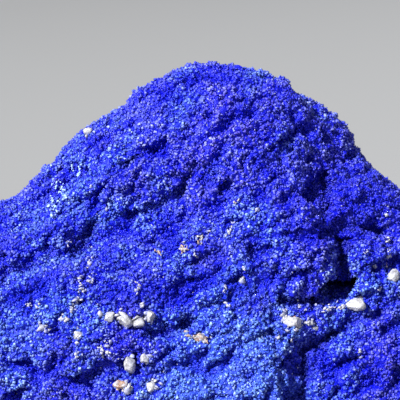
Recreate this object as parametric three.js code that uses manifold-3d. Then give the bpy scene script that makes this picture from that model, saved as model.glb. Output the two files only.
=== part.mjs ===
// Azurite hand specimen: one rounded, pointed mound of blue azurite crust, broken off flat underneath,
// with the larger pale grains of its sandstone host seated in the crust as separate stones.
//
// Millimetres, +Z up. The origin is the middle of the flat base. +X is to the right of someone who faces
// the specimen's best side, which looks along -Y. Places written as x, z are points on one side of the
// mound, as seen by someone who faces that side squarely.

import * as THREE from "three";
import { ImprovedNoise } from "three/addons/math/ImprovedNoise.js";
import { mergeVertices } from "three/addons/utils/BufferGeometryUtils.js";
import Module from "manifold-3d";

const wasm = await Module();
wasm.setup();

// Driving dimensions of the mound. Lumps of the crust add about a millimetre to each.
const WIDTH = 82;
const DEPTH = 58;
const HEIGHT = 52;

const MESH_DETAIL = 19; // splits of each icosahedron edge: the mound's faces are about 2 mm across
const HOLLOW_DETAIL = 2;
const GRAIN_DETAIL = 1;
const LOBE_BLEND = 7; // how softly neighbouring lobes flow into each other
const CORE_HEIGHT = 0.34 * HEIGHT; // the mound is modelled outwards from this point on its axis
const SEARCH_RADIUS = 64; // outside every part of the mound
const SEARCH_STEP = 1;
const BISECTIONS = 14; // halvings of the last search step

const SEAT_GAP = 0.3; // free space between a pale grain and its socket
const SEAT_SINK = 0.1; // how far a grain's middle lies under the crust, as a share of its thickness
const GRAIN_ROUGHNESS = 0.4; // how far a grain's corners stand in and out, as a share of its radius

const FRONT = new THREE.Vector3(0, -1, 0);
const BACK = new THREE.Vector3(0, 1, 0);

// Lobes that make up the mound. Places and radii are per cent of its width, depth and height.
const LOBES = [
  { name: "foot", at: [0, 0, 18], radii: [50, 50, 40] },
  { name: "crown", at: [4, 2, 62], radii: [22, 28, 36] },
  { name: "left slope", at: [-12.5, 4, 49], radii: [16, 26, 35] },
  { name: "right shoulder", at: [20, 3, 45], radii: [15.5, 28, 34] },
  { name: "left shoulder", at: [-29, 6, 36], radii: [17, 28, 24] },
  { name: "left apron", at: [-19, -21, 25], radii: [27, 27, 29] },
  { name: "front boulder", at: [14, -20, 46], radii: [17, 20, 21] },
  { name: "right boulder", at: [34, -8, 40], radii: [14, 20, 20] },
  { name: "right toe", at: [28, -23, 14], radii: [21, 24, 22] },
  { name: "middle toe", at: [4, -27, 14], radii: [17, 22, 23] },
  { name: "back left swell", at: [-13, 24, 34], radii: [22, 24, 33] },
  { name: "back right swell", at: [18, 24, 31], radii: [20, 22, 29] },
];

// Creases between the lobes: the x, z points that each runs through, its width and its depth.
const CREASES = [
  {
    name: "left valley",
    side: FRONT,
    path: [[-32, 23], [-28, 24.5], [-21.5, 27], [-16, 28.5], [-13.5, 31], [-10.5, 32], [-3.5, 33]],
    width: 5,
    depth: 3.4,
  },
  { name: "upper valley", side: FRONT, path: [[-23, 30], [-18, 32]], width: 3.5, depth: 0.8 },
  {
    name: "right cleft",
    side: FRONT,
    path: [[22.5, 39], [18.5, 39.5], [18, 35], [19.5, 32], [20.5, 29.5], [20, 26.5], [20, 24]],
    width: 4.5,
    depth: 3,
  },
  { name: "right branch", side: FRONT, path: [[20.5, 31], [26, 30], [29, 28.5]], width: 4, depth: 2 },
  { name: "shelf", side: FRONT, path: [[19, 22], [12, 22]], width: 3.5, depth: 1.6 },
  {
    name: "toe crease",
    side: FRONT,
    path: [[19.5, 18], [17, 17], [15, 15], [14, 13], [14, 9], [14.5, 4]],
    width: 4,
    depth: 2.4,
  },
  { name: "crown pits", side: FRONT, path: [[-3.5, 36], [2, 36.5], [8, 37]], width: 3.5, depth: 0.6 },
  { name: "crevice", side: FRONT, path: [[-5.5, 19], [-0.5, 19.5]], width: 3, depth: 1.4 },
  { name: "foot crease", side: FRONT, path: [[-15, 12.5], [-10, 14.5]], width: 3.5, depth: 1 },
  { name: "back left crease", side: BACK, path: [[-20, 30], [-8, 24], [2, 12], [0, 2]], width: 5, depth: 2 },
  { name: "back right crease", side: BACK, path: [[14, 40], [18, 28], [30, 20]], width: 5, depth: 2 },
];

// The deep hollow under the front boulder: its mouth, radii and how it leans up to the left, in degrees.
const HOLLOW = { at: [19, 22.3], radii: [2.9, 4.6, 1.9], lean: -8, sink: 0.5 };

// Lumps of the crust: each layer has the spacing of its lumps and how far they stand out.
const LUMPS = [
  { spacing: 13, height: 1.5 },
  { spacing: 6.5, height: 0.9 },
  { spacing: 3.6, height: 0.45 },
];
const NOISE_SHIFT = 31.7; // moves each layer to its own stretch of noise

const CREAM = 0xd8d4c4;
const GREY = 0xc3c2b6;
const OCHRE = 0xd9c795;

// Pale grains: the x, z place of each, its size across, into the crust and upwards, how far its right end
// leans up in degrees, and its colour.
const GRAINS = [
  { name: "row_grain_1", at: [-12, 20.6], size: [1.6, 1.5, 1.1], lean: 15, colour: GREY },
  { name: "row_grain_2", at: [-9.9, 20.2], size: [2.1, 2, 1.9], lean: -10, colour: CREAM },
  { name: "row_grain_3", at: [-7.9, 19.9], size: [1.4, 1.5, 1.4], lean: -25, colour: GREY },
  { name: "row_grain_4", at: [-6.4, 20.5], size: [1, 1.4, 1.9], lean: 10, colour: CREAM },
  { name: "hollow_lip_grain", at: [22.2, 20.7], size: [3, 1.8, 1.3], lean: 25, colour: CREAM },
  { name: "right_edge_grain", at: [27.6, 23.9], size: [1.6, 1.6, 2], lean: 5, colour: CREAM },
  { name: "shelf_grain", at: [12.9, 19.3], size: [2.8, 1.6, 1.2], lean: -12, colour: CREAM },
  { name: "tall_low_grain", at: [-9.2, 14.2], size: [1.2, 1.5, 2.5], lean: 8, colour: CREAM },
  { name: "round_low_grain", at: [-7.1, 15.2], size: [1.2, 1.3, 1.6], lean: -10, colour: GREY },
  { name: "yellow_low_grain", at: [-10.3, 12], size: [1.9, 1.4, 1.1], lean: -8, colour: OCHRE },
  { name: "foot_wedge_grain", at: [-6.4, 11.7], size: [1.2, 1.4, 1.5], lean: -35, colour: CREAM },
  { name: "left_apron_grain", at: [-16.3, 18.2], size: [1.2, 1.3, 1.1], lean: 20, colour: CREAM },
  { name: "crevice_grain", at: [0.3, 17.9], size: [2, 1.4, 1], lean: -5, colour: OCHRE },
  { name: "left_shoulder_grain", at: [-16.2, 42], size: [1.2, 1.4, 1], lean: 0, colour: GREY },
];

const noise = new ImprovedNoise();

const share = ([x, y, z]) => new THREE.Vector3((x * WIDTH) / 100, (y * DEPTH) / 100, (z * HEIGHT) / 100);

const lobes = LOBES.map(({ at, radii }) => ({ centre: share(at), radii: share(radii) }));

// Distance from a point to an ellipsoid's surface, negative inside; close enough near the surface.
function toLobe(point, { centre, radii }) {
  const scaled = point.clone().sub(centre).divide(radii);
  const steep = scaled.clone().divide(radii).length();
  const far = scaled.length();
  return steep > 0 ? (far * (far - 1)) / steep : -Math.min(radii.x, radii.y, radii.z);
}

function blend(a, b, width) {
  const overlap = Math.max(width - Math.abs(a - b), 0) / width;
  return Math.min(a, b) - (overlap * overlap * width) / 4;
}

function toMound(point) {
  return lobes.reduce((near, lobe) => blend(near, toLobe(point, lobe), LOBE_BLEND), Infinity);
}

// The first point of a field's surface on a straight line that starts outside it.
function firstSurface(field, start, direction, reach) {
  const at = (distance) => start.clone().addScaledVector(direction, distance);
  let outside = 0;
  while (outside < reach && field(at(outside + SEARCH_STEP)) > 0) outside += SEARCH_STEP;
  let inside = outside + SEARCH_STEP;
  for (let i = 0; i < BISECTIONS; i++) {
    const middle = (outside + inside) / 2;
    if (field(at(middle)) > 0) outside = middle;
    else inside = middle;
  }
  return at((outside + inside) / 2);
}

// The surface point at x, z on one side of the mound.
function onFace(field, side, [x, z]) {
  const start = new THREE.Vector3(x, 0, z).addScaledVector(side, SEARCH_RADIUS);
  return firstSurface(field, start, side.clone().negate(), 2 * SEARCH_RADIUS);
}

const creases = CREASES.map(({ side, path, width, depth }) => ({
  points: path.map((place) => onFace(toMound, side, place)),
  width,
  depth,
}));

function toPath(point, points) {
  let near = Infinity;
  for (let i = 1; i < points.length; i++) {
    const segment = new THREE.Line3(points[i - 1], points[i]);
    near = Math.min(near, segment.closestPointToPoint(point, true, new THREE.Vector3()).distanceTo(point));
  }
  return near;
}

function creaseDepth(point) {
  let total = 0;
  for (const { points, width, depth } of creases) {
    const across = toPath(point, points) / width;
    if (across < 1) total += depth * (1 - across * across) ** 2;
  }
  return total;
}

function lumpHeight({ x, y, z }) {
  return LUMPS.reduce((total, { spacing, height }, layer) => {
    const shift = NOISE_SHIFT * (layer + 1);
    return total + height * noise.noise(x / spacing + shift, y / spacing + shift, z / spacing + shift);
  }, 0);
}

const toCrust = (point) => toMound(point) + creaseDepth(point) - lumpHeight(point);

// The direction straight out of the mound at a point of its surface.
function outwards(point) {
  const step = 1;
  const slope = (axis) => {
    const offset = new THREE.Vector3().setComponent(axis, step);
    return toMound(point.clone().add(offset)) - toMound(point.clone().sub(offset));
  };
  return new THREE.Vector3(slope(0), slope(1), slope(2)).normalize();
}

// A closed solid from a geometry, for joining and cutting.
function solidOf(geometry) {
  const bare = geometry.index ? geometry.toNonIndexed() : geometry.clone();
  bare.deleteAttribute("normal");
  bare.deleteAttribute("uv");
  const merged = mergeVertices(bare, 1e-4);
  return new wasm.Manifold(
    new wasm.Mesh({
      numProp: 3,
      vertProperties: new Float32Array(merged.attributes.position.array),
      triVerts: new Uint32Array(merged.index.array),
    }),
  );
}

function geometryOf(solid) {
  const { vertProperties, triVerts } = solid.getMesh();
  const geometry = new THREE.BufferGeometry();
  geometry.setAttribute("position", new THREE.BufferAttribute(new Float32Array(vertProperties), 3));
  geometry.setIndex(new THREE.BufferAttribute(new Uint32Array(triVerts), 1));
  geometry.computeVertexNormals();
  return geometry;
}

// A ball with every vertex moved to where place(direction) says.
function shapeBall(detail, place) {
  const ball = new THREE.IcosahedronGeometry(1, detail);
  const position = ball.attributes.position;
  const direction = new THREE.Vector3();
  for (let i = 0; i < position.count; i++) {
    direction.fromBufferAttribute(position, i).normalize();
    position.setXYZ(i, ...place(direction));
  }
  return ball;
}

function mound() {
  const core = new THREE.Vector3(0, 0, CORE_HEIGHT);
  const ball = shapeBall(MESH_DETAIL, (direction) => {
    const start = core.clone().addScaledVector(direction, SEARCH_RADIUS);
    return firstSurface(toCrust, start, direction.clone().negate(), SEARCH_RADIUS);
  });
  const below = new THREE.BoxGeometry(2 * WIDTH, 2 * DEPTH, HEIGHT).translate(0, 0, -HEIGHT / 2);
  return solidOf(ball).subtract(solidOf(below));
}

// Turns a shape made around the origin, with its front towards -Y, and puts it on the crust.
function seat(geometry, at, lean, sink) {
  const place = onFace(toCrust, FRONT, at);
  const normal = outwards(place);
  const turn = new THREE.Quaternion().setFromUnitVectors(FRONT, normal);
  geometry.rotateY(-THREE.MathUtils.degToRad(lean));
  geometry.applyQuaternion(turn);
  const middle = place.addScaledVector(normal, -sink);
  return geometry.translate(middle.x, middle.y, middle.z);
}

function hollow({ at, radii, lean, sink }) {
  const size = new THREE.Vector3(...radii);
  const ball = shapeBall(HOLLOW_DETAIL, (direction) => direction.clone().multiply(size));
  return seat(ball, at, lean, sink);
}

// One pale grain, or its socket when it is grown by the seat gap. seed gives each grain its own corners.
function grain({ at, size, lean }, seed, growth) {
  const radii = new THREE.Vector3(...size).divideScalar(2).addScalar(growth);
  const ball = shapeBall(GRAIN_DETAIL, (direction) => {
    const corner = noise.noise(1.7 * direction.x + seed, 1.7 * direction.y, 1.7 * direction.z);
    return direction.clone().multiply(radii).multiplyScalar(1 + GRAIN_ROUGHNESS * corner);
  });
  return seat(ball, at, lean, SEAT_SINK * size[1]);
}

const sockets = GRAINS.map((entry, i) => solidOf(grain(entry, i, SEAT_GAP)));
const hollowed = mound().subtract(solidOf(hollow(HOLLOW)));
const mass = sockets.reduce((solid, socket) => solid.subtract(socket), hollowed);

function stone(name, geometry, color, roughness) {
  const mesh = new THREE.Mesh(geometry, new THREE.MeshStandardMaterial({ color, roughness, metalness: 0 }));
  mesh.name = name;
  return mesh;
}

const massMesh = stone("azurite_mass", geometryOf(mass), 0x2430d8, 0.6);
massMesh.geometry.computeBoundingBox();
const middle = massMesh.geometry.boundingBox.getCenter(new THREE.Vector3());

const specimen = new THREE.Group();
specimen.add(massMesh);
GRAINS.forEach((entry, i) => specimen.add(stone(entry.name, grain(entry, i, 0), entry.colour, 0.7)));
specimen.position.set(-middle.x, -middle.y, 0);

export default specimen;
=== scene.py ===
import math

import bpy
import numpy as np
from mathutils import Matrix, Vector, noise
from mathutils.bvhtree import BVHTree


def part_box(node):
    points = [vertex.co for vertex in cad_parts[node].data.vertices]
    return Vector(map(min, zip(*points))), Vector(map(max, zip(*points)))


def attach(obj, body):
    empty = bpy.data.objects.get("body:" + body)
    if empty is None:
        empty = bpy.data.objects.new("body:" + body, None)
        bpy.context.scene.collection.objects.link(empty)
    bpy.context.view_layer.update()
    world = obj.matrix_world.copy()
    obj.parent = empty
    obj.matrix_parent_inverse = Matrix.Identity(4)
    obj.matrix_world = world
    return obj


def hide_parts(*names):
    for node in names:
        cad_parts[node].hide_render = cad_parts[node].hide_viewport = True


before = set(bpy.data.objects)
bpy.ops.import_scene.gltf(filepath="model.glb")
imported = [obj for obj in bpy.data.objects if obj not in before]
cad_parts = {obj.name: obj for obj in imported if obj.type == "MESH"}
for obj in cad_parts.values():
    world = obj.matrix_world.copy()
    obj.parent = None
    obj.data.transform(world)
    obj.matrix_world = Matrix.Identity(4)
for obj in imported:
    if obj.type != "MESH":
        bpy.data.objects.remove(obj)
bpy.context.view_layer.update()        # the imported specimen: the azurite mass and its pale grains, in metres
mm = 0.001
lowCorner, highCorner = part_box("azurite_mass")
scene = bpy.context.scene
noise.seed_set(5)        # noise_vector starts from the clock otherwise


def deselectAll():
    if bpy.context.object and bpy.context.object.mode != "OBJECT":
        bpy.ops.object.mode_set(mode="OBJECT")
    bpy.ops.object.select_all(action="DESELECT")


def makeActive(piece):
    deselectAll()
    piece.select_set(True)
    bpy.context.view_layer.objects.active = piece


def applyModifier(piece, kind, settings):
    makeActive(piece)
    modifier = piece.modifiers.new(kind.lower(), kind)
    for name, value in settings.items():
        setattr(modifier, name, value)
    bpy.ops.object.modifier_apply(modifier=modifier.name)


def placesOf(mesh):
    places = np.empty(len(mesh.vertices) * 3, np.float32)
    mesh.vertices.foreach_get("co", places)
    return places.reshape(-1, 3).astype(float)


def normalsOf(mesh):
    normals = np.empty(len(mesh.vertices) * 3, np.float32)
    mesh.vertex_normals.foreach_get("vector", normals)
    return normals.reshape(-1, 3).astype(float)


def movePlaces(mesh, places):
    mesh.vertices.foreach_set("co", places.astype(np.float32).ravel())
    mesh.update()


def addLayer(mesh, name, values):    # one colour a point
    layer = mesh.attributes.new(name, "FLOAT_COLOR", "POINT")
    filled = np.ones((len(values), 4), np.float32)
    filled[:, :values.shape[1]] = values
    layer.data.foreach_set("color", filled.ravel())


def unit(v):
    return v / np.maximum(np.linalg.norm(v, axis=1), 1e-12)[:, None]


def between(ends, share):     # from the low end at 0 to the high end at 1
    low, high = ends
    return low + (high - low) * share


def linearColour(hexCode):     # sRGB hex to the linear values that shaders take
    parts = [int(hexCode[i:i + 2], 16) / 255 for i in (1, 3, 5)]
    return tuple(p / 12.92 if p <= 0.04045 else ((p + 0.055) / 1.055) ** 2.4 for p in parts) + (1.0,)


def addNode(tree, kind, settings=None, links=None):
    node = tree.nodes.new("ShaderNode" + kind)
    for name, value in (settings or {}).items():
        if isinstance(name, int) or name in node.inputs:
            node.inputs[name].default_value = value
        else:
            setattr(node, name, value)
    for name, socket in (links or {}).items():
        tree.links.new(socket, node.inputs[name])
    return node


def newMaterial(name):
    material = bpy.data.materials.new(name)
    material.use_nodes = True
    material.node_tree.nodes.clear()
    return material, material.node_tree


def blend(tree, share, first, second):     # two colours, each a hex code or a socket
    mix = addNode(tree, "Mix", {"data_type": "RGBA"}, {"Factor": share})
    for socket, colour in ((6, first), (7, second)):
        if isinstance(colour, str):
            mix.inputs[socket].default_value = linearColour(colour)
        else:
            tree.links.new(colour, mix.inputs[socket])
    return mix.outputs[2]


def patches(tree, size, detail, low, high):      # soft patches, size in mm
    where = addNode(tree, "TexCoord").outputs["Object"]
    pattern = addNode(tree, "TexNoise", {"Scale": 1000 / size, "Detail": detail}, {"Vector": where})
    return addNode(tree, "MapRange", {"From Min": low, "From Max": high},
                   {"Value": pattern.outputs["Fac"]}).outputs["Result"]


def toneParts(tree, name):
    tone = addNode(tree, "Attribute", {"attribute_name": name})
    return addNode(tree, "SeparateColor", links={0: tone.outputs["Color"]}).outputs


studio = {
    "elevation": 12,          # degrees that the camera looks down
    "distance": 0.25,
    "lens": 150,
    "aimHeight": 0.603,       # share of the specimen's height
    "key": (-0.62, -0.55, 0.68),    # towards the lamp
    "keyPower": 8.2,
    "keySoftness": 6,         # degrees that the lamp spans
    "fillPlace": (0.42, -0.50, 0.22),
    "fillSize": 0.4,
    "fillPower": 0.5,
    "sky": "#B2B9DC",
    "skyPower": 0.46,
    "floorNear": "#92928F",
    "floorFar": "#81817E",
    "floorReach": (0.12, 0.75),     # from the near grey to the far grey, metres behind the specimen
    "floorSlant": -1.1,             # painted shade: the left is as much darker as this much further back
    "floorSize": 6,
    "floorRoughness": 0.9,
    "floorGap": 0.02,         # mm, so that floor and specimen don't share a plane
}


def aimAt(thing, place, target):
    thing.location = place
    thing.rotation_euler = (Vector(target) - Vector(place)).to_track_quat("-Z", "Y").to_euler()


def setCamera():
    tilt = math.radians(studio["elevation"])
    size = highCorner - lowCorner
    middle = (lowCorner + highCorner) / 2
    target = Vector((middle.x, middle.y, lowCorner.z + studio["aimHeight"] * size.z))
    back = Vector((0, -math.cos(tilt), math.sin(tilt)))
    bpy.ops.object.camera_add()
    camera = bpy.context.object
    camera.data.lens = studio["lens"]
    camera.data.clip_start = 0.01
    aimAt(camera, target + back * studio["distance"], target)
    scene.camera = camera
    return target


def setLights(target):
    bpy.ops.object.light_add(type="SUN")
    key = bpy.context.object
    key.name = "keyLamp"
    key.data.energy = studio["keyPower"]
    key.data.angle = math.radians(studio["keySoftness"])
    aimAt(key, target + Vector(studio["key"]), target)
    bpy.ops.object.light_add(type="AREA")
    fill = bpy.context.object
    fill.name = "fillLamp"
    fill.data.shape = "DISK"
    fill.data.size = studio["fillSize"]
    fill.data.energy = studio["fillPower"]
    aimAt(fill, studio["fillPlace"], target)
    world = bpy.data.worlds.new("softSky")
    world.use_nodes = True
    world.node_tree.nodes["Background"].inputs["Color"].default_value = linearColour(studio["sky"])
    world.node_tree.nodes["Background"].inputs["Strength"].default_value = studio["skyPower"]
    scene.world = world
    scene.view_settings.view_transform = "Standard"   # keeps the deep blue as saturated as it is


def layFloor():
    deselectAll()
    height = lowCorner.z - studio["floorGap"] * mm
    bpy.ops.mesh.primitive_plane_add(size=studio["floorSize"], location=(0, 0, height))
    floor = bpy.context.object
    floor.name = "paperFloor"
    # unglazed card: an even, dull surface, with painted shade that makes it a little darker far behind the
    # specimen and on the left
    material, tree = newMaterial("matt grey paper")
    where = addNode(tree, "TexCoord").outputs["Object"]
    back = addNode(tree, "VectorMath", {"operation": "DOT_PRODUCT", 1: (studio["floorSlant"], 1, 0)},
                   {0: where})
    near, far = studio["floorReach"]
    share = addNode(tree, "MapRange", {"From Min": near, "From Max": far},
                    {"Value": back.outputs["Value"]})
    grey = blend(tree, share.outputs["Result"], studio["floorNear"], studio["floorFar"])
    shader = addNode(tree, "BsdfPrincipled", {"Roughness": studio["floorRoughness"]}, {"Base Color": grey})
    addNode(tree, "OutputMaterial", links={"Surface": shader.outputs[0]})
    floor.data.materials.append(material)


setLights(setCamera())
layFloor()
print("studio set")


azuriteLook = {
    "gap": "#0208B2",         # painted shade between the crystals
    "cave": "#02020E",        # painted shade, nearly black, deep in creases and in the hollow
    "deep": "#121ABA",        # darker crystal: partly its own random darker tone, partly painted shade at roots and low in pockets
    "royal": "#4E57C2",
    "azure": "#6292E4",       # thinner, lighter crystal
    "violet": "#604CC4",
    "frostAndGlint": "#B4BCF4",       # broken and frosted crystal ends, and painted glints
    "paleFrostAndGlint": "#BEDCFA",   # the same on azure crystal
    "roughness": 0.36,
    "ior": 1.75,
    "glint": "#9AA2FF",       # colour that the deep blue gives its reflections
    "speck": 0.2,             # mm
    "speckRange": (0.3, 1.8),     # how much they weaken or strengthen a crystal's own shade
    "bump": 0.6,
    "bumpHeight": 0.1,        # mm
}


def azuriteMaterial():
    # azurite druse, grown from water in a rock's pores: deep blue, glassy little crystals, pale at the ends,
    # partly frosted and partly painted glints, with painted shade at the roots, in the gaps and in creases
    look = azuriteLook
    material, tree = newMaterial("azurite druse")
    tone, tint = toneParts(tree, "crystalTone"), toneParts(tree, "crystalTint")
    base = blend(tree, tint["Red"], look["royal"], look["azure"])
    base = blend(tree, tint["Green"], base, look["violet"])
    # growth steps and dust on the crystals, finer than they are
    speck = patches(tree, look["speck"], detail=2, low=0.36, high=0.64)
    weakest, strongest = look["speckRange"]
    strength = addNode(tree, "MapRange", {"To Min": weakest, "To Max": strongest}, {"Value": speck})
    share = addNode(tree, "Math", {"operation": "MULTIPLY", "use_clamp": True},
                    {0: tone["Red"], 1: strength.outputs["Result"]})
    # painted shade: dark roots and crystals low in pockets go to the deep blue, as do crystals darker at
    # random
    base = blend(tree, share.outputs["Value"], look["deep"], base)
    # frosted ends and painted glints: pale crystal ends, some of them painted highlights
    frostAndGlint = blend(tree, tint["Red"], look["frostAndGlint"], look["paleFrostAndGlint"])
    base = blend(tree, tone["Green"], base, frostAndGlint)
    # painted shade: roots and crystals low in pockets go over to the dark gap colour
    base = blend(tree, tone["Blue"], look["gap"], base)
    # painted shade: nearly black deep in creases and in the hollow
    base = blend(tree, tint["Blue"], base, look["cave"])
    bump = addNode(tree, "Bump", {"Strength": look["bump"], "Distance": look["bumpHeight"] * mm},
                   {"Height": speck})
    shader = addNode(tree, "BsdfPrincipled",
                     {"Roughness": look["roughness"], "IOR": look["ior"],
                      "Specular Tint": linearColour(look["glint"])},
                     {"Base Color": base, "Normal": bump.outputs["Normal"]})
    addNode(tree, "OutputMaterial", links={"Surface": shader.outputs[0]})
    return material


stoneLook = {
    "pale": "#BEBEC4",
    "grey": "#8C8D98",
    "rust": "#8C5844",
    "ochre": "#C2A890",
    "blueStain": "#6F7ED8",   # azurite dust on the pale grains
    "lowShadeAndGrime": "#6E6A60",     # painted shade in the low places of the grains; on the chips, grime at random
    "patch": 0.7,             # mm
    "stainPatch": 0.5,
    "roughness": 0.42,
    "ior": 1.55,
    "scatter": 0.45,          # share of the light that goes through
    "depth": 0.4,             # mm that it goes
    "depthTint": (1.0, 0.9, 0.7),     # how far red, green and blue light go, as shares of that
    "grit": 0.12,             # mm
    "bump": 0.35,
    "bumpHeight": 0.03,       # mm
}


def stoneMaterial(name, stained):
    # broken quartz and feldspar of the host rock: glassy to waxy, milky inside; iron has stained some
    look = stoneLook
    material, tree = newMaterial(name)
    tone = toneParts(tree, "stoneTone")
    greyPatches = patches(tree, look["patch"], detail=4, low=0.4, high=0.65)
    base = blend(tree, greyPatches, look["pale"], look["grey"])
    if stained:
        rustPatches = patches(tree, look["stainPatch"], detail=3, low=0.4, high=0.6)
        stain = blend(tree, rustPatches, look["ochre"], look["rust"])
        stainPatches = patches(tree, look["patch"], detail=5, low=0.42, high=0.58)
        base = blend(tree, stainPatches, base, stain)
    base = blend(tree, tone["Green"], base, look["blueStain"])
    # painted shade in the low places of the rough surface; the chips take it at random as grime
    base = blend(tree, tone["Red"], look["lowShadeAndGrime"], base)
    shader = addNode(tree, "BsdfPrincipled",
                     {"Roughness": look["roughness"], "IOR": look["ior"],
                      "Subsurface Weight": look["scatter"], "Subsurface Scale": look["depth"] * mm,
                      "Subsurface Radius": look["depthTint"]}, {"Base Color": base})
    grit = addNode(tree, "TexNoise", {"Scale": 1000 / look["grit"], "Detail": 3},
                   {"Vector": addNode(tree, "TexCoord").outputs["Object"]})
    bump = addNode(tree, "Bump", {"Strength": look["bump"], "Distance": look["bumpHeight"] * mm},
                   {"Height": grit.outputs["Fac"]})
    tree.links.new(bump.outputs["Normal"], shader.inputs["Normal"])
    addNode(tree, "OutputMaterial", links={"Surface": shader.outputs[0]})
    return material


azurite = azuriteMaterial()
paleStone = stoneMaterial("milky quartz", False)
stainedStone = stoneMaterial("iron stained quartz", True)
print("materials made")


# the mound with its lumps, pockets, creases and hollow
crustShape = {
    "voxel": 0.41,            # mm
    "smoothing": 7,
    "smoothFrom": (0.2, 1.7),       # mm above the base, from none to full smoothing
    "lumpsFrom": (0.12, 1.32),      # the same for lumps and pockets
    "grain": (0.82, 0.20, 0.52),    # the way that lumps and pockets are drawn out
    "warp": 1.2,              # mm that they wander from a regular pattern
    "warpSize": 3.1,
    # rounded lumps: spacing and height in mm
    "lumps": [(7.0, 0.65), (3.2, 0.58), (1.6, 0.44), (0.95, 0.26)],
    "lumpStretch": 1.4,
    "lumpNoise": 1.6,         # steps of the noise in one spacing
    "lumpSteepness": 2.6,
    "lumpFullness": 0.6,      # lower is rounder
    "pocketStretch": 2.4,
    "pocketNoise": 1.4,
    "pocketSteepness": 1.3,
    "pocketFullness": 0.8,
    # pockets: spacing, depth in mm, and the share of the surface that they take
    "pockets": [(4.6, 1.9, 0.19), (2.3, 1.25, 0.24), (1.2, 0.6, 0.26)],
    "pocketRise": 0.35,       # how steeply pockets run up inwards
    "raggedSize": 1.5,        # mm between a crease's narrow and wide places
    "raggedness": 0.9,
    "raggedRange": (0.75, 2),
    "caveDepth": 2,           # mm, from which a crease's bottom is fully darkened by painted shade and has no pockets
    "blackDepth": 5,          # mm, from which its bottom is nearly black with painted shade
    "swellDepth": 10,         # mm in front of the middle, where swells are full
}

# creases on the front: x, z places that each passes through, width and depth in mm, and how steeply it
# runs up inwards
creases = [
    ([(-30, 22), (-26, 24.5), (-22, 25.6), (-18.6, 26.5), (-16.2, 27.5)], 1.5, 1.7, 0.3),
    ([(-17, 27.4), (-15.2, 29.8)], 1.7, 2.4, 0.3),
    ([(-15, 29.5), (-10.8, 31.3), (-5.7, 32.3), (-3.6, 33.6)], 0.9, 0.9, 0.3),
    ([(-20, 30.5), (-17.4, 32.6)], 1.2, 1.3, 0.3),
    ([(-23, 34.4), (-20.6, 36.1)], 0.9, 0.8, 0.3),
    ([(-12, 38.3), (-9.3, 39.1)], 1.0, 1.1, 0.3),
    ([(-3.1, 34.3), (-0.7, 38.4)], 1.3, 1.5, 0.3),
    ([(0.7, 35.5), (2.1, 37.4)], 1.1, 1.2, 0.3),
    ([(3.1, 35.8), (4.5, 36.4)], 1.1, 1.2, 0.3),
    ([(10, 39), (13, 40.5)], 1.0, 1.0, 0.3),
    ([(-7, 28.6), (-3.5, 30), (-1.4, 31.3)], 1.0, 1.1, 0.3),
    ([(-1.4, 26.6), (2.1, 27.8)], 1.4, 1.6, 0.3),
    ([(-9.6, 24.6), (-6.8, 25.3)], 0.9, 1.0, 0.3),
    ([(7.6, 27.9), (9.7, 28.4)], 1.2, 1.3, 0.3),
    ([(7.6, 24.1), (9, 26)], 1.1, 1.3, 0.3),
    ([(4.4, 22.5), (8.5, 22.7)], 0.9, 1.0, 0.3),
    ([(12.4, 30.5), (14.9, 29.8)], 1.1, 1.2, 0.3),
    ([(11, 32), (13.3, 33.2)], 1.2, 1.2, 0.3),
    ([(18.2, 32.8), (18.1, 36.4)], 1.5, 2.5, 0.3),
    ([(18.6, 29.6), (22.6, 30.6)], 1.2, 2.0, 0.3),
    ([(24.2, 29.7), (26, 29.3)], 1.5, 2.4, 0.3),
    ([(20.5, 33.8), (25, 32.8)], 1.0, 1.3, 0.3),
    ([(21.6, 36.2), (25.5, 35.6)], 0.9, 1.2, 0.3),
    ([(24.6, 24.8), (28.2, 25.8)], 1.2, 1.4, 0.3),
    ([(19.7, 28.5), (19.9, 25), (20.1, 23)], 1.9, 3.2, 0),        # up from the hollow
    ([(20.5, 21.6), (19.4, 22.1), (17.6, 21.3)], 2.5, 6, 0.4),      # the hollow
    ([(18.5, 21.2), (15.5, 20.9)], 1.4, 3.8, 0.4),
    ([(17, 21), (14, 21.2), (11, 21.3)], 1.1, 2.2, 0.4),
    ([(-13.6, 22), (-10.2, 22.2), (-6.8, 22)], 0.9, 1.4, 0.4),
    ([(-6.8, 18.3), (-3.4, 18.6), (-0.7, 19.3)], 1.4, 2.0, 0.4),
    ([(0, 21.3), (3, 21.7)], 0.9, 1.0, 0.3),
    ([(1.6, 17.8), (4.1, 18.4)], 0.9, 1.2, 0.3),
    ([(6, 17.3), (9.5, 18.2)], 1.0, 1.4, 0.3),
    ([(13.8, 8.5), (14.6, 12), (14.4, 15), (18.7, 16.8)], 1.3, 2.4, 0.1),
    ([(18.7, 16.8), (20.1, 18), (25.2, 19.2)], 1.1, 1.4, 0.3),
    ([(-15, 11), (-12.3, 13.1), (-5.4, 13.3)], 1.2, 1.5, 0.3),
    ([(26.9, 10.4), (27.6, 12.3)], 1.5, 1.8, 0.3),
]

# soft changes of the outline: x, z and radius in mm, and how far the surface drops there
outlineDrops = [(-12.6, 44.8, 3.4, 1.9), (-16.3, 42.4, 1.6, 0.55), (-21, 38, 2.2, 1.2), (-30, 30, 4.5, 1.1),
                (13.2, 46.6, 2.2, -1.3), (3, 51.4, 5, 0.7)]

# soft swells of the front, which fill wide valleys: x, z, radius and height in mm
frontSwells = [(13, 11, 3.6, 1.5), (13.5, 5, 4, 1)]

# soft spots on the front, lighter azure or more violet: x, z and radius in mm
azureSpots = [(-17.5, 36, 6), (-17, 25, 7), (-26, 18, 7), (3.5, 13, 12), (-10, 31, 6), (10, 18, 6),
              (4, 31, 5), (24, 26, 4)]
violetSpots = [(3, 46, 12), (18, 34, 6), (17, 26, 5), (-1, 38, 5), (-10, 18, 5), (27, 12, 4)]

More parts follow.
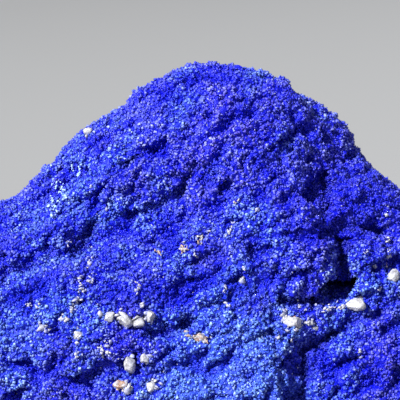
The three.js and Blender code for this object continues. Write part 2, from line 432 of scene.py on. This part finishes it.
# where the crystal ends are frosted most, with painted glints: x, z and radius in mm
frostSpots = [(-6.2, 22.8, 1.7), (-3.5, 21.8, 1.2), (-0.5, 21.3, 1.6), (-13.5, 15.5, 2.2), (-9.5, 15, 1.6),
              (12, 23, 2.4), (17, 25, 2.6), (-3, 35, 3), (-27, 31, 2.5), (25, 27.5, 1.6), (3, 10, 2.5),
              (-25, 11, 3), (14, 28, 2), (5, 40, 4)]

# paler or darker spots on the front: x, z and radius in mm, and how much (darker below 0); paler is partly
# lighter crystal and partly painted light, darker is painted shade
paleSpots = [(-20, 21, 5, 0.45), (-27, 15, 7, 0.6), (-16, 12, 5, 0.3), (-2, 12, 6, 0.85), (6, 12, 7, 1),
             (11, 10, 4, 0.9), (24, 20, 5, 0.35), (4, 19, 5, 0.45), (11, 18, 4, 0.5), (3, 28, 6, 0.5),
             (3, 42, 5, 0.4), (-5, 45, 4, 0.5), (-11, 36, 5, 0.3), (11.5, 46.5, 4, -0.5),
             (18.5, 32, 4, -0.7), (16, 37, 3, -0.3), (25, 33, 6, -0.75), (28, 39, 4, -0.4),
             (-28, 29, 5, -0.3), (-26, 35, 3, -0.3)]

# what each tint's share of a place is made up of: an even part, one by soft cloud and one by spot
crustTints = {
    "cloud": 5.5,             # mm, size of the soft clouds of colour
    "azure": {"even": 0.2, "cloud": 1.4, "spot": 0.7, "violetSpot": -0.5, "pale": 0.4},
    "violet": {"even": -0.1, "cloud": 1.1, "spot": 0.8},
    "frostAndGlint": {"even": 0.3, "cloud": 1.6, "pale": 0.05, "spot": 0.6},
    # painted shade in low places and painted light on high ones: pits and relief in mm, and what caves and
    # dark spots take off
    "shade": {"pit": 1.3, "lowest": 1.05, "range": 1.7, "cave": 0.85, "darkSpot": 0.6},
    "bareTone": (0.2, 0.3),   # how light the bare crust is: by height, as painted shade and light, and in pale spots
    # painted shade: how far the bare crust is out of the gaps' dark colour, by height and in pale spots
    "bareGap": (0.15, 0.4),
}


def surfaceFinder(mesh):
    return BVHTree.FromPolygons([v.co for v in mesh.vertices], [p.vertices for p in mesh.polygons])


def onFront(tree, x, z):
    # the front's surface at x, z in mm, with its normal, looked for from well in front
    start = Vector((x * mm, -100 * mm, z * mm))
    return tree.ray_cast(start, Vector((0, 1, 0)))[:2]


def nearness(places, x, z, radius):
    # 1 at x, z in mm, and fading softly to 0 at about two radii
    away = np.hypot(places[:, 0] / mm - x, places[:, 2] / mm - z) / radius
    return np.exp(-away ** 2)


def aboveBase(places, ends):
    low, high = ends
    return np.clip(((places[:, 2] - lowCorner.z) / mm - low) / (high - low), 0, 1)


def distanceToPath(places, path):
    near = np.full(len(places), np.inf)
    for start, end in zip(path, path[1:]):
        a, along = np.array(start), np.array(end) - np.array(start)
        share = np.clip(((places - a) @ along) / (along @ along), 0, 1)
        near = np.minimum(near, np.linalg.norm(places - a - share[:, None] * along, axis=1))
    return near


def trimShape(crust):
    places = placesOf(crust.data)
    for x, z, radius, drop in outlineDrops:
        places[:, 2] -= drop * mm * nearness(places, x, z, radius)
    for x, z, radius, swell in frontSwells:
        forward = np.clip(-places[:, 1] / (crustShape["swellDepth"] * mm), 0, 1)
        places[:, 1] -= swell * mm * nearness(places, x, z, radius) * forward
    movePlaces(crust.data, places)


def cutCreases(crust):
    # pushes the surface in along each crease, and says how far each point is in one and how dark its painted
    # shade is
    places = placesOf(crust.data)
    tree = surfaceFinder(crust.data)
    shift = np.zeros_like(places)
    cave, dark, deepest = np.zeros((3, len(places)))
    wander = np.array([noise.noise(Vector(p) / (crustShape["raggedSize"] * mm)) for p in places])
    ragged = np.clip(1 + crustShape["raggedness"] * wander, *crustShape["raggedRange"])
    for path, width, depth, rise in creases:
        points, facing = zip(*(onFront(tree, x, z) for x, z in path))
        across = distanceToPath(places, points) / (width * mm) * ragged
        share = np.clip(1 - across ** 2, 0, 1) ** 1.2
        inwards = Vector((0, 0, rise)) - sum(facing, Vector()).normalized()
        deeper = share * depth > deepest
        shift[deeper] = np.array(inwards) * (share * depth * mm)[deeper, None]
        deepest = np.maximum(deepest, share * depth)
        cave = np.maximum(cave, share * min(depth / crustShape["caveDepth"], 1))
        # painted shade, nearly black along the bottoms of deep creases
        bottom = np.clip(2.4 * share - 0.7, 0, 1)
        dark = np.maximum(dark, bottom * min((depth / crustShape["blackDepth"]) ** 1.5, 1))
    movePlaces(crust.data, places + shift)
    return cave, dark


def raiseLumps(crust, cave):
    # rounded lumps, as the crust grows round many centres at once, with pockets left between them
    places, normals = placesOf(crust.data), normalsOf(crust.data)
    along = Vector(crustShape["grain"]).normalized()
    lumps, pockets = crustShape["lumps"], crustShape["pockets"]
    swells, dips = np.empty((len(places), len(lumps))), np.empty((len(places), len(pockets)))
    # each layer reads a part of the noise of its own
    for i, place in enumerate(places / mm):
        spot = Vector(place)
        spot += crustShape["warp"] * noise.noise_vector(spot / crustShape["warpSize"])
        run = along * spot.dot(along)
        drawn = spot - run * (1 - 1 / crustShape["lumpStretch"])
        for layer, (spacing, height) in enumerate(lumps):
            ownPart = Vector((7.3 * layer, 0, 0))
            swells[i, layer] = abs(noise.noise(drawn / spacing * crustShape["lumpNoise"] + ownPart))
        drawn = spot - run * (1 - 1 / crustShape["pocketStretch"])
        for layer, (spacing, depth, share) in enumerate(pockets):
            ownPart = Vector((0, 5.1 * layer, 3.7))
            dips[i, layer] = noise.noise(drawn / spacing * crustShape["pocketNoise"] + ownPart)
    steepness, fullness = crustShape["lumpSteepness"], crustShape["lumpFullness"]
    meanSwell = 0.6
    relief = sum(height * (np.minimum(swells[:, layer] * steepness, 1) ** fullness - meanSwell)
                 for layer, (spacing, height) in enumerate(lumps))
    pit = np.zeros(len(places))
    for layer, (spacing, depth, share) in enumerate(pockets):
        edge, deepest = np.quantile(dips[:, layer], (1 - share, 0.995))
        dip = (dips[:, layer] - edge) / (deepest - edge) * crustShape["pocketSteepness"]
        pit += depth * np.clip(dip, 0, 1) ** crustShape["pocketFullness"]
    pit *= 1 - np.clip(cave, 0, 1)
    above = aboveBase(places, crustShape["lumpsFrom"])
    out = normals * (relief * above)[:, None]
    inwards = (np.array([0, 0, crustShape["pocketRise"]]) - normals) * (pit * above)[:, None]
    movePlaces(crust.data, places + (out + inwards) * mm)
    return relief, pit


def spotSum(places, spots):
    total = np.zeros(len(places))
    for x, z, radius, amount in spots:
        total += amount * nearness(places, x, z, radius) * (places[:, 1] < 0)
    return total


def spotShare(places, spots):
    share = np.zeros(len(places))
    for x, z, radius in spots:
        share = np.maximum(share, nearness(places, x, z, radius) * (places[:, 1] < 0))
    return share


def paintCrust(crust, relief, pit, cave, dark):
    # six values for each point, which the crystals that grow there take on: the shares of azure, violet
    # and near black painted shade, then how frosted with painted glints, how high for painted shade and light,
    # and how pale it is
    places = placesOf(crust.data)
    size = crustTints["cloud"] * mm
    cloud = np.array([(noise.noise(p), noise.noise(p * 1.3 + Vector((9, 0, 0))), noise.noise(p * 2.1))
                      for p in (Vector(q) / size for q in places)])
    azure, violet, frostAndGlint, shade = (crustTints[name] for name in ("azure", "violet", "frostAndGlint", "shade"))
    # painted light and shade in spots, partly lighter crystal where paler
    pale = np.clip(spotSum(places, paleSpots), -1, 1)
    azureSpot, violetSpot = spotShare(places, azureSpots), spotShare(places, violetSpots)
    azureShare = azure["even"] + azure["cloud"] * cloud[:, 0] + azure["spot"] * azureSpot
    azureShare = np.clip(azureShare + azure["violetSpot"] * violetSpot + azure["pale"] * pale, 0, 1)
    violetShare = violet["even"] + violet["cloud"] * cloud[:, 1] + violet["spot"] * violetSpot
    violetShare = np.clip(violetShare, 0, 1) * (1 - azureShare)
    frostPatch = np.clip(frostAndGlint["even"] + frostAndGlint["cloud"] * cloud[:, 2] + frostAndGlint["pale"] * pale, 0, 1)
    frostPatch += frostAndGlint["spot"] * spotShare(places, frostSpots)
    # painted shade and light: low in pits and creases darker, high on lumps lighter
    height = np.clip((relief - shade["pit"] * pit + shade["lowest"]) / shade["range"], 0, 1)
    height *= 1 - shade["cave"] * np.clip(cave, 0, 1)
    # painted shade in the dark spots
    height *= 1 + shade["darkSpot"] * np.minimum(pale, 0)
    return np.stack([azureShare, violetShare, dark, frostPatch, height, pale], axis=1)


def flattenUnderside(crust):
    # one plain face where the specimen is cut off to stand
    makeActive(crust)
    bpy.ops.object.mode_set(mode="EDIT")
    bpy.ops.mesh.select_all(action="DESELECT")
    bpy.ops.object.mode_set(mode="OBJECT")
    top = lowCorner.z + 0.1 * mm
    for face in crust.data.polygons:
        face.select = face.normal.z < -0.99 and face.center.z < top
    bpy.ops.object.mode_set(mode="EDIT")
    bpy.ops.mesh.select_mode(type="FACE")
    bpy.ops.mesh.dissolve_limited(angle_limit=math.radians(5))
    bpy.ops.object.mode_set(mode="OBJECT")


def modelCrust():
    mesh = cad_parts["azurite_mass"].data.copy()
    crust = bpy.data.objects.new("azuriteCrust", mesh)
    scene.collection.objects.link(crust)
    makeActive(crust)
    bpy.ops.object.mode_set(mode="EDIT")
    bpy.ops.mesh.select_all(action="SELECT")
    bpy.ops.mesh.remove_doubles(threshold=1e-6)
    bpy.ops.object.mode_set(mode="OBJECT")
    applyModifier(crust, "REMESH", {"mode": "VOXEL", "voxel_size": crustShape["voxel"] * mm})
    group = crust.vertex_groups.new(name="aboveBase")
    for i, share in enumerate(aboveBase(placesOf(crust.data), crustShape["smoothFrom"])):
        group.add([i], float(share), "REPLACE")
    applyModifier(crust, "SMOOTH", {"factor": 0.5, "iterations": crustShape["smoothing"],
                                    "vertex_group": "aboveBase"})
    trimShape(crust)
    cave, dark = cutCreases(crust)
    relief, pit = raiseLumps(crust, cave)
    fields = paintCrust(crust, relief, pit, cave, dark)
    # the bare crust shows only in the gaps between crystals, so it is painted dark: painted shade between the
    # crystals
    height, pale = fields[:, 4], np.clip(fields[:, 5], 0, 1)
    tone, gap = (byHeight * height + byPale * pale
                 for byHeight, byPale in (crustTints["bareTone"], crustTints["bareGap"]))
    addLayer(crust.data, "crystalTone", np.stack([tone, 0 * pale, gap], axis=1))
    addLayer(crust.data, "crystalTint", fields[:, :3])
    crust.data.materials.clear()
    crust.data.materials.append(azurite)
    return crust, fields


crust, fields = modelCrust()
crustTree = surfaceFinder(crust.data)
print("crust", len(crust.data.vertices), "points")


# small crystals all over the crust, singly and in rosettes
druse = {
    "rosettes": 10000,
    "inRosette": 5,
    "single": 100000,
    "pieces": 5,
    "length": (0.42, 0.80),   # mm, shortest and longest crystal
    "width": (0.32, 0.86),
    "flatness": (0.3, 0.8),   # thickness as a share of the width
    "belly": 0.72,            # share of the length at which a crystal is widest
    "corners": (0.3, 2.4, 4.5),     # where its three edges are, in radians
    "sink": 0.42,             # share of the length below the crust
    "rosetteSink": 0.32,
    "lean": 0.7,              # how far crystals lean from straight out, 0 to 1
    "rosetteLean": 1.2,       # times that
    "alike": 0.55,            # share of the shade that a rosette's crystals have in common
    "contrast": 1.25,
    # frost of the crystal ends, partly real, partly painted glints; the brightest share is painted glints
    # alone
    "frostAndGlint": {"even": 0.05, "speckle": 0.16, "patch": 0.6, "paintedGlints": 0.5},
    "rootTone": (0.3, 1),     # painted shade: how light the root and the tip are, the root darker where shade falls between crystals
    "lowTone": (0.1, 1),      # and crystals low in a pocket and high on a lump: painted shade in pockets, painted light on lumps
    "lowGap": (0.5, 1),       # how far each is out of the gaps' painted shade, in the same two places
    # painted light and shade: pale spots take crystals out of the gaps' dark colour, dark spots further in
    "paleGap": 0.3,
    "seed": 11,
}


def scatterOver(mesh, count, rng):
    # evenly random points on a mesh, with the faces' normals and fields; none on the flat underside
    mesh.calc_loop_triangles()
    corners = np.empty(len(mesh.loop_triangles) * 3, np.int32)
    mesh.loop_triangles.foreach_get("vertices", corners)
    corners = corners.reshape(-1, 3)
    places = placesOf(mesh)
    a, b, c = (places[corners[:, i]] for i in range(3))
    cross = np.cross(b - a, c - a)
    area = np.linalg.norm(cross, axis=1) / 2
    normal = cross / np.maximum(2 * area, 1e-20)[:, None]
    underside = (a[:, 2] < lowCorner.z + 0.15 * mm) & (normal[:, 2] < -0.9)
    area[underside] = 0
    face = rng.choice(len(area), count, p=area / area.sum())
    r1, r2 = np.sqrt(rng.random(count)), rng.random(count)
    shares = np.stack([1 - r1, r1 * (1 - r2), r1 * r2], axis=1)
    point = (np.stack([a[face], b[face], c[face]], axis=1) * shares[:, :, None]).sum(1)
    return point, normal[face], (fields[corners[face]] * shares[:, :, None]).sum(1)


def layOutCells(mesh, count):
    # a cell of the map for each crystal, so that its six faces keep their own colours when exported
    across = math.ceil(math.sqrt(count))
    inset = 0.06
    low, high = inset, 1 - inset
    lower, upper = [(low, low), (high, low), (high, high)], [(low, low), (high, high), (low, high)]
    quarter = [(0, 0), (1, 0), (0, 1)]
    shape = np.array([[(x / 2 + u / 2, y / 2 + v / 2) for u, v in (lower, upper)[half]]
                      for half in range(2) for x, y in quarter]).reshape(-1, 2)
    cells = np.arange(count)
    corner = np.stack([cells % across, cells // across], axis=1)[:, None, :]
    uv = (corner + shape[None]) / across
    layer = mesh.uv_layers.new(name="OFBake")
    layer.data.foreach_set("uv", uv.astype(np.float32).ravel())


def buildMesh(name, corners, faces, layers, material):
    # one joined mesh of many small closed shapes: corners is count x points x 3
    count, points = corners.shape[:2]
    mesh = bpy.data.meshes.new(name)
    index = (faces[None] + points * np.arange(count)[:, None, None]).reshape(-1, 3)
    mesh.vertices.add(count * points)
    mesh.vertices.foreach_set("co", corners.astype(np.float32).ravel())
    mesh.loops.add(index.size)
    mesh.loops.foreach_set("vertex_index", index.astype(np.int32).ravel())
    mesh.polygons.add(len(index))
    mesh.polygons.foreach_set("loop_start", np.arange(0, index.size, 3, dtype=np.int32))
    mesh.update(calc_edges=True)
    for layerName, values in layers.items():
        addLayer(mesh, layerName, values.reshape(count * points, -1))
    mesh.materials.append(material)
    piece = bpy.data.objects.new(name, mesh)
    scene.collection.objects.link(piece)
    return piece


def shadeCrystals(shade, field, rng):
    # how light (with painted shade at the roots and in pockets), how frosted (with painted glints) and how
    # open each crystal's five corners are (less open is the gaps' painted shade), and its tints
    count = len(field)
    shade = druse["alike"] * shade + (1 - druse["alike"]) * rng.random(count)
    frostPatch, height, pale = field[:, 3], field[:, 4], np.clip(field[:, 5], 0, 1)
    speckle, parts = rng.random(count), druse["frostAndGlint"]
    # frosted ends, partly real and partly painted glints; the palest few and those high on lumps are painted
    # highlights
    frostAndGlint = parts["even"] + (parts["speckle"] + parts["patch"] * frostPatch) * speckle ** 2
    frostAndGlint = np.clip((frostAndGlint + parts["paintedGlints"] * speckle ** 6) * height, 0, 1)
    # painted shade low in pockets and painted light high on lumps, on top of each crystal's own random shade
    lightness = np.clip(druse["contrast"] * shade + pale, 0.1, 1) * between(druse["lowTone"], height)
    # painted shade: crystals low in pockets go further into the gaps' dark colour
    openness = between(druse["lowGap"], height)
    tones = np.zeros((count, 5, 3))
    for corner, rise in enumerate((0.8, 0.8, 0.8, 0, 1.0)):      # the ring, the root and the tip
        # painted shade: darker towards each crystal's root
        tone = between(druse["rootTone"], rise)
        tones[:, corner, 0] = lightness * tone
        tones[:, corner, 1] = frostAndGlint
        tones[:, corner, 2] = np.clip(tone * openness + druse["paleGap"] * pale, 0, 1)
    return tones, np.repeat(field[:, None, :3], 5, axis=1)


def growCrystals(crust):
    rng = np.random.default_rng(druse["seed"])
    each = druse["inRosette"]
    point, normal, field = scatterOver(crust.data, druse["rosettes"] + druse["single"], rng)
    times = np.ones(len(point), int)
    times[:druse["rosettes"]] = each
    shade = np.repeat(rng.random(len(point)), times)      # crystals of a rosette look alike
    point, normal, field = (np.repeat(v, times, axis=0) for v in (point, normal, field))
    count = len(point)
    inRosette = np.arange(count) < druse["rosettes"] * each
    lean = druse["lean"] * np.where(inRosette, druse["rosetteLean"], 1)
    up = unit(normal + lean[:, None] * rng.normal(size=(count, 3)))
    lyingFlat = (up * normal).sum(1)[:, None] < 0.1
    up = np.where(lyingFlat, unit(normal + 0.3 * up), up)
    side = unit(np.cross(up, rng.normal(size=(count, 3))))
    front = np.cross(up, side)
    size = rng.random(count) ** 1.6       # more small ones than large ones
    length, width = mm * between(druse["length"], size), mm * between(druse["width"], size)
    flat = between(druse["flatness"], rng.random(count))
    # a three-sided double pyramid: a ring of three and two tips
    ring = [side * math.cos(t) * (width / 2)[:, None] + front * math.sin(t) * (flat * width / 2)[:, None]
            for t in druse["corners"]]
    root = point - up * (np.where(inRosette, druse["rosetteSink"], druse["sink"]) * length)[:, None]
    belly = root + up * (druse["belly"] * length)[:, None]
    tip = root + up * length[:, None]
    corners = np.stack([belly + r for r in ring] + [root, tip], axis=1)
    corners[:, :, 2] = np.maximum(corners[:, :, 2], lowCorner.z)     # none reaches below the flat base
    faces = np.array([[0, 1, 4], [1, 2, 4], [2, 0, 4], [1, 0, 3], [2, 1, 3], [0, 2, 3]])
    tones, tints = shadeCrystals(shade, field, rng)
    pieces = []
    # each piece takes one band of the specimen, from left to right
    order = np.argsort(point[:, 0], kind="stable")
    for number, part in enumerate(np.array_split(order, druse["pieces"])):
        piece = buildMesh(f"druse_{number + 1}", corners[part], faces,
                          {"crystalTone": tones[part], "crystalTint": tints[part]}, azurite)
        layOutCells(piece.data, len(part))
        pieces.append(piece)
    print("crystals", count)
    return pieces


drusePieces = growCrystals(crust)
flattenUnderside(crust)


# the pale grains of host rock that the crust has grown round
stones = {
    "swell": (1.25, 1.25, 1.1),     # size against the plain grain
    "cuts": 9,
    "cutReach": (0.5, 0.85),  # how far out a broken face lies, as a share of half the size
    "voxel": 0.085,           # mm
    "roughen": 0.06,
    "roughSizes": (0.45, 0.2),      # mm, coarse and fine
    "seed": 100,
    "names": [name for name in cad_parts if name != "azurite_mass"],
    "stained": ["yellow_low_grain", "crevice_grain"],
}


def breakStone(name, number):
    # a ball cut by broken faces, with the edges worn
    rng = np.random.default_rng(stones["seed"] + number)
    low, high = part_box(name)
    size, middle = (high - low) * Vector(stones["swell"]), (low + high) / 2
    deselectAll()
    bpy.ops.mesh.primitive_ico_sphere_add(subdivisions=3, radius=0.5, location=middle)
    stone = bpy.context.object
    stone.name = name + "_stone"
    stone.scale = size
    bpy.ops.object.transform_apply(location=True, rotation=True, scale=True)
    for cut in range(stones["cuts"]):
        way = Vector(rng.normal(size=3)).normalized()
        reach = (way * size).length / 2 * between(stones["cutReach"], rng.random())
        bpy.ops.object.mode_set(mode="EDIT")
        bpy.ops.mesh.select_all(action="SELECT")
        bpy.ops.mesh.bisect(plane_co=middle + way * reach, plane_no=way, use_fill=True, clear_outer=True,
                            threshold=1e-8)
        bpy.ops.object.mode_set(mode="OBJECT")
    applyModifier(stone, "REMESH", {"mode": "VOXEL", "voxel_size": stones["voxel"] * mm})
    applyModifier(stone, "SMOOTH", {"factor": 0.5, "iterations": 2})
    places, normals = placesOf(stone.data), normalsOf(stone.data)
    coarse, fine = (spacing * mm for spacing in stones["roughSizes"])
    rough = np.array([noise.noise(Vector(p) / coarse) + 0.5 * noise.noise(Vector(p) / fine)
                      for p in places])
    movePlaces(stone.data, places + normals * (rough * stones["roughen"] * mm)[:, None])
    # painted shade: darker where the roughened surface is lower
    tone = np.clip(0.8 + 0.5 * rough, 0, 1)
    addLayer(stone.data, "stoneTone", np.stack([tone, 0 * tone], axis=1))
    stained = name in stones["stained"]
    stone.data.materials.clear()
    stone.data.materials.append(stainedStone if stained else paleStone)
    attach(stone, "root")
    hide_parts(name)


for number, name in enumerate(stones["names"]):
    breakStone(name, number)
print("pale grains", len(stones["names"]))


# small chips: pale host rock, rusty stains and threads of whitish azurite
chips = {
    "tightness": 0.6,         # how close a group's chips stay together
    "growth": 1.2,            # size against the sizes listed below
    "thinnest": (0.7, 0.6, 0.3),    # a chip's length, width and thickness as shares of its size
    "thickest": (1.5, 1.2, 0.65),
    "jitter": 0.28,           # how far a chip's corners stray from a ball, as a share of its size
    "sink": 0.35,             # share of a chip's size that stays below its seat
    "clear": 0.2,             # mm that the seat stands above the bare crust, among the crystals
    "threadClear": 0.42,      # the same for the whitish threads
    "scattered": 700,         # pale dust over the whole specimen
    "dust": (0.14, 0.30),     # mm
    "paleTone": (0.75, 1),    # how clean the chips are
    "rustyTone": (0.45, 1),
    "blueStain": (0, 0.5),
    "threadFrost": (0.85, 1),
    "seed": 23,
}

# pale chips on the front: the places that each run or group passes through, x, z in mm, then how many,
# how far they spread and their smallest and largest size in mm
palePlaces = [
    # the broken thread down the left
    ([(-23.6, 21.1)], 7, 0.35, (0.3, 0.7)), ([(-22.3, 21.5)], 5, 0.25, (0.3, 0.6)),
    ([(-21.6, 19.4), (-20.6, 18.8)], 14, 0.3, (0.3, 0.8)), ([(-18.5, 20)], 10, 0.4, (0.3, 0.8)),
    ([(-16.9, 22.7), (-17.1, 21.7), (-17.7, 21.1)], 26, 0.35, (0.25, 0.65)),
    ([(-16.6, 24.6)], 7, 0.35, (0.25, 0.6)), ([(-15, 24.7)], 8, 0.35, (0.3, 0.7)),
    ([(-15.3, 26)], 8, 0.3, (0.35, 0.8)), ([(-15.3, 26.8)], 6, 0.4, (0.25, 0.5)),
    ([(-16.2, 23.6)], 7, 0.35, (0.25, 0.6)), ([(-14, 21.7)], 4, 0.3, (0.25, 0.45)),
    ([(-16.5, 17.9)], 12, 0.5, (0.4, 0.9)), ([(-12.5, 17.2)], 6, 0.35, (0.3, 0.65)),
    ([(-13.4, 16.2), (-11.9, 16.6)], 16, 0.6, (0.3, 0.6)), ([(-16.4, 15.8)], 6, 0.35, (0.25, 0.6)),
    # beside the large grains of the row
    ([(-13.4, 20.6), (-6.3, 20.4)], 26, 0.55, (0.35, 0.95)),
    # upper middle
    ([(1.3, 30.6)], 3, 0.2, (0.3, 0.5)), ([(4.7, 31.5), (4.2, 30.9), (3.9, 30.2)], 16, 0.18, (0.2, 0.55)),
    ([(7.7, 33.1)], 5, 0.3, (0.3, 0.7)), ([(-2, 29.3)], 3, 0.15, (0.4, 0.6)),
    ([(-0.8, 27.7)], 3, 0.15, (0.4, 0.6)), ([(-6.9, 29.9)], 1, 0.05, (0.4, 0.45)),
    ([(-4.3, 29.8)], 1, 0.05, (0.35, 0.4)), ([(6.2, 26.3)], 4, 0.3, (0.3, 0.55)),
    ([(5.8, 24.5)], 9, 0.3, (0.4, 0.9)), ([(3.3, 24.3), (3.4, 23.3)], 9, 0.2, (0.25, 0.5)),
    ([(3.5, 21.8), (4.2, 21.7)], 8, 0.2, (0.3, 0.6)), ([(2.3, 20)], 4, 0.3, (0.3, 0.5)),
    ([(-8.5, 24.2), (-8.6, 23.3)], 7, 0.2, (0.3, 0.6)), ([(-7.8, 21.9)], 3, 0.2, (0.4, 0.6)),
    ([(-13.4, 31.7)], 3, 0.12, (0.4, 0.6)), ([(-19.3, 27.7), (-18.6, 28)], 7, 0.2, (0.25, 0.5)),
    ([(-15.8, 34.8)], 6, 0.25, (0.3, 0.55)), ([(-16.4, 41.6)], 4, 0.3, (0.4, 0.8)),
    # the band below the hollow and round the shelf
    ([(22.9, 21), (21.4, 20.6), (20, 20.1), (18.2, 20.2), (16.5, 20.4)], 34, 0.3, (0.3, 0.75)),
    ([(16.5, 20.4), (14.5, 20.8), (13.6, 20.2)], 16, 0.35, (0.25, 0.55)),
    ([(11.3, 20.8), (11.5, 19.4), (12.4, 19.4), (13.2, 18.2), (14.2, 18.6)], 44, 0.4, (0.3, 0.8)),
    ([(14.4, 18.8), (15.6, 18.9)], 9, 0.3, (0.3, 0.6)), ([(15.8, 17.8)], 3, 0.1, (0.5, 0.75)),
    ([(10.5, 17.2)], 3, 0.1, (0.4, 0.6)), ([(12.6, 16.9)], 2, 0.1, (0.4, 0.6)),
    ([(11.9, 18.1)], 5, 0.3, (0.3, 0.5)),
    # the right-hand boulder
    ([(24.7, 25)], 3, 0.12, (0.55, 0.75)), ([(26.6, 26.9)], 7, 0.3, (0.35, 0.7)),
    ([(26.7, 28)], 6, 0.3, (0.3, 0.6)), ([(23.1, 27.5)], 4, 0.25, (0.3, 0.5)),
    ([(26.6, 31)], 3, 0.15, (0.4, 0.6)), ([(25, 22.5)], 7, 0.35, (0.3, 0.65)),
    # low down
    ([(-10.3, 11.9), (-9.3, 11.2)], 18, 0.45, (0.4, 1.0)),
    ([(-6.8, 11.7), (-5.7, 12)], 12, 0.4, (0.4, 0.9)), ([(-9.8, 13.6), (-9.5, 15.2)], 12, 0.35, (0.4, 0.9)),
    ([(-7.5, 14.6), (-6.9, 15.6)], 12, 0.35, (0.4, 0.9)),
    ([(0, 17.6), (1.6, 17.8)], 8, 0.25, (0.3, 0.6)), ([(22.1, 14.8)], 3, 0.3, (0.3, 0.5)),
]
rustPlaces = [
    ([(-2.7, 28), (-1.6, 28.5)], 26, 0.28, (0.25, 0.6)), ([(-6, 27.5), (-5.2, 27.6)], 10, 0.2, (0.25, 0.5)),
    ([(-0.3, 29.5), (0.3, 29.8)], 14, 0.35, (0.25, 0.5)), ([(-8.6, 24.3)], 5, 0.25, (0.25, 0.45)),
    ([(-1.8, 18.1), (-0.6, 17.5), (1.2, 17.4)], 20, 0.25, (0.3, 0.65)),
    ([(-10.9, 11.7), (-9.6, 11.4)], 10, 0.3, (0.3, 0.6)), ([(4.9, 34.4)], 8, 0.3, (0.25, 0.45)),
    ([(11.6, 19.8), (13, 19)], 8, 0.3, (0.3, 0.5)), ([(26.3, 24.9)], 4, 0.3, (0.3, 0.5)),
]
threadPlaces = [
    ([(-18.8, 37.5), (-18.9, 36.4)], 26, 0.14, (0.16, 0.34)),
    ([(-17.5, 36.8), (-17.7, 35.5)], 30, 0.13, (0.16, 0.34)),
    ([(-21.4, 34.7), (-21.4, 33.7)], 20, 0.12, (0.16, 0.3)),
    ([(-21.7, 33), (-21.7, 32.2)], 14, 0.12, (0.14, 0.26)),
    ([(-20.4, 34.2), (-19.6, 32.9), (-19.1, 31.8)], 42, 0.13, (0.16, 0.36)),
    ([(-20.7, 32.3), (-20.6, 31.8)], 12, 0.12, (0.16, 0.3)),
    ([(-21.7, 31.8), (-21.1, 31), (-21.3, 30.4)], 30, 0.13, (0.16, 0.36)),
    ([(-20.9, 34.9), (-20.2, 32)], 14, 0.5, (0.12, 0.24)),
]


def chipShape():
    # one small ball of a few faces, modelled once for every chip
    deselectAll()
    bpy.ops.mesh.primitive_ico_sphere_add(subdivisions=1, radius=0.5)
    ball = bpy.context.object
    faces = np.array([list(face.vertices) for face in ball.data.polygons])
    places = placesOf(ball.data)
    bpy.data.objects.remove(ball)
    return places, faces


def placeChips(groups, rng):
    # seats, facings and sizes of the chips, laid along each group's path
    spots, facings, sizes = [], [], []
    for path, count, spread, (small, large) in groups:
        for chip in range(count):
            along = rng.random() * (len(path) - 1)
            start, end = path[int(along)], path[min(int(along) + 1, len(path) - 1)]
            x, z = (between(ends, along % 1) + chips["tightness"] * spread * rng.normal()
                    for ends in zip(start, end))
            place, normal = onFront(crustTree, x, z)
            if place:
                spots.append(place)
                facings.append(normal)
                sizes.append(chips["growth"] * between((small, large), rng.random() ** 1.5))
    return np.array(spots), np.array(facings), np.array(sizes)


def makeChips(name, seats, tones, layerName, material, clear, rng):
    places, faces = chipShape()
    spots, facings, sizes = seats
    count = len(spots)
    thinnest, thickest = np.array(chips["thinnest"]), np.array(chips["thickest"])
    stretch = between((thinnest, thickest), rng.random((count, 1, 3)))
    shape = places[None] * stretch * (1 + chips["jitter"] * rng.normal(size=(count, len(places), 1)))
    up = unit(rng.normal(size=(count, 3)))
    side = unit(np.cross(up, rng.normal(size=(count, 3))))
    turn = np.stack([side, np.cross(up, side), up], axis=1)
    shape = np.einsum("cpk,ckj->cpj", shape, turn) * (sizes * mm)[:, None, None]
    lift = facings * ((0.5 - chips["sink"]) * sizes * mm + clear * mm)[:, None]
    shape += (spots + lift)[:, None, :]
    shape[:, :, 2] = np.maximum(shape[:, :, 2], lowCorner.z)
    layers = {layerName: np.repeat(tones[:, None, :], len(places), axis=1)}
    if layerName == "crystalTone":
        layers["crystalTint"] = np.tile([1.0, 0.0, 0.0], (count, len(places), 1))
    piece = buildMesh(name, shape, faces, layers, material)
    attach(piece, "root")
    return piece


def addDust(seats, rng):
    # pale dust over the whole specimen, as well as the chips
    dust, facings = scatterOver(crust.data, chips["scattered"], rng)[:2]
    sizes = between(chips["dust"], rng.random(len(dust)) ** 2)
    return tuple(np.concatenate(pair) for pair in zip(seats, (dust, facings, sizes)))


def scatterChips():
    rng = np.random.default_rng(chips["seed"])
    seats = addDust(placeChips(palePlaces, rng), rng)
    count = len(seats[0])
    clean = between(chips["paleTone"], rng.random(count))
    tones = np.stack([clean, between(chips["blueStain"], rng.random(count) ** 2)], axis=1)
    makeChips("pale_chips", seats, tones, "stoneTone", paleStone, chips["clear"], rng)
    seats = placeChips(rustPlaces, rng)
    clean = between(chips["rustyTone"], rng.random(len(seats[0])))
    tones = np.stack([clean, 0 * clean], axis=1)
    makeChips("rusty_chips", seats, tones, "stoneTone", stainedStone, chips["clear"], rng)
    seats = placeChips(threadPlaces, rng)
    frostAndGlint = between(chips["threadFrost"], rng.random(len(seats[0])))
    full = np.ones(len(frostAndGlint))
    tones = np.stack([full, frostAndGlint, full], axis=1)
    makeChips("whitish_threads", seats, tones, "crystalTone", azurite, chips["threadClear"], rng)
    print("chips placed")


scatterChips()

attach(crust, "root")
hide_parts("azurite_mass")
for piece in drusePieces:
    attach(piece, "root")
